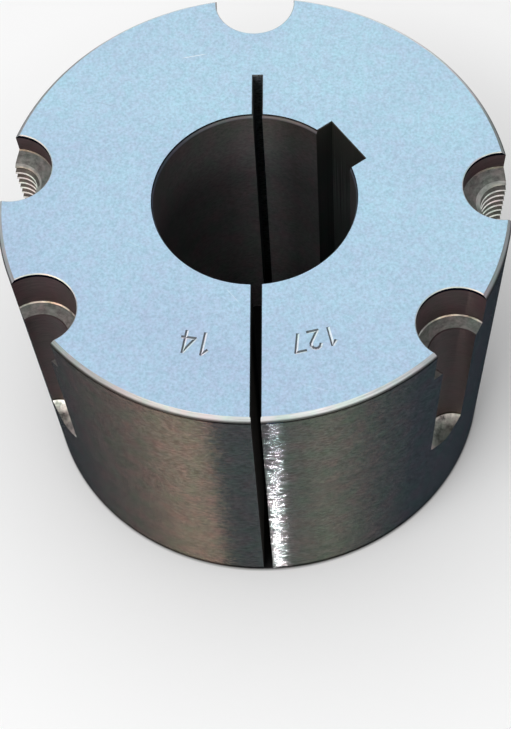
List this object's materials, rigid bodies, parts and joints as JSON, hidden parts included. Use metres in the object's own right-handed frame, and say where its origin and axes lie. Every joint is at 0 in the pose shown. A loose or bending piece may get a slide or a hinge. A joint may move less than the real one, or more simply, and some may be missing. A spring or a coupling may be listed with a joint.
{
  "type": "taper bush",
  "caption": "Split taper bush with a keyed bore: screws in its rim's half-holes draw it into a hub so that it grips the shaft.",
  "frame": {"origin": "on the bore's axis, in the plane of the small end face that the bush stands on", "axes": "+Z along the bore towards the large end; the through slot is towards -Y; +X to the right of it, seen from the slot's side with the large end up"},
  "size_m": [0.1264, 0.1261, 0.0889],
  "materials": {
    "machined_iron": "machined all over: fine turned cone and faces, bored and broached inside, satin"
  },
  "bodies": {
    "root": {"taper_bush": "machined_iron"}
  },
  "joints": []
}
